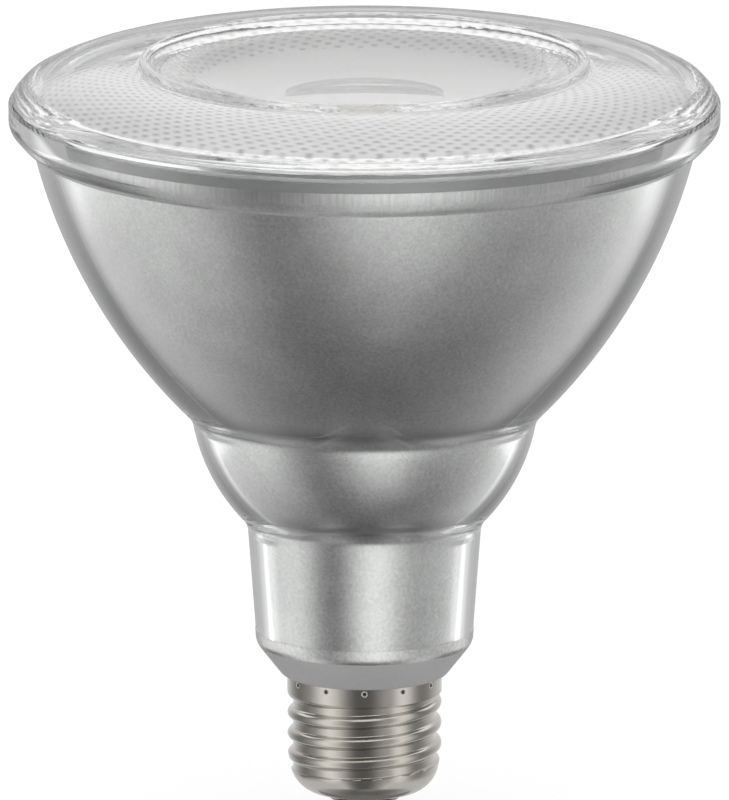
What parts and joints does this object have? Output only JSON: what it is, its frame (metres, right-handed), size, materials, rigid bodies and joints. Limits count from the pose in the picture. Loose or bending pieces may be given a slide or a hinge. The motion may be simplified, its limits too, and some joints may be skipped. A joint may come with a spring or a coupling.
{
  "type": "par spotlight bulb",
  "caption": "Reflector spotlight bulb: clear glass bowl over a satin metal shell, patterned front lens with a dished centre, and a right-hand screw base.",
  "frame": {"origin": "middle of the centre contact's face at the tip of the screw base", "axes": "+Z along the lamp's axis from the base to the front lens; -Y towards the picture's viewer"},
  "size_m": [0.1206, 0.1206, 0.1311],
  "materials": {
    "clear_glass": "clear pressed glass",
    "clear_lens": "clear moulded polycarbonate, patterned underneath",
    "satin_aluminium": "satin, fine sparkle",
    "nickel_sheet": "nickel plated, rolled",
    "contact_metal": "tinned",
    "black_insulator": "glossy black",
    "grey_plastic": "matt grey",
    "white_plastic": "matt white",
    "silicone": "grey silicone",
    "thermal_silicone": "soft grey pad",
    "white_board": "white solder mask on aluminium",
    "white_ceramic": "white ceramic",
    "phosphor": "pale diffusing gel over the phosphor",
    "screw_steel": "zinc plated",
    "driver_board_green": "green solder mask",
    "capacitor_sleeve": "dark sleeve",
    "film_box": "amber box",
    "ferrite": "matt ferrite",
    "winding_tape": "yellow tape",
    "black_package": "moulded black",
    "resistor_body": "lacquered",
    "black_wire": "insulated wire",
    "red_wire": "insulated wire"
  },
  "bodies": {
    "root": {"front_lens": "clear_lens", "lens_seal": "silicone", "glass_body": "clear_glass", "heat_shell": "satin_aluminium", "driver_housing": "grey_plastic", "screw_shell": "nickel_sheet", "base_insulator": "black_insulator", "centre_contact": "contact_metal", "optic_holder": "white_plastic", "led_pedestal": "satin_aluminium", "thermal_pad": "thermal_silicone", "led_board": "white_board", "led_carrier": "white_ceramic", "phosphor_disc": "phosphor", "board_screws": "screw_steel", "driver_board": "driver_board_green", "bulk_capacitor": "capacitor_sleeve", "output_capacitor": "capacitor_sleeve", "transformer_core": "ferrite", "transformer_winding": "winding_tape", "choke": "ferrite", "film_capacitor": "film_box", "rectifier": "black_package", "controller": "black_package", "fuse_resistor": "resistor_body", "contact_lead": "black_wire", "shell_lead": "black_wire", "led_lead_plus": "red_wire", "led_lead_minus": "black_wire"}
  },
  "joints": []
}
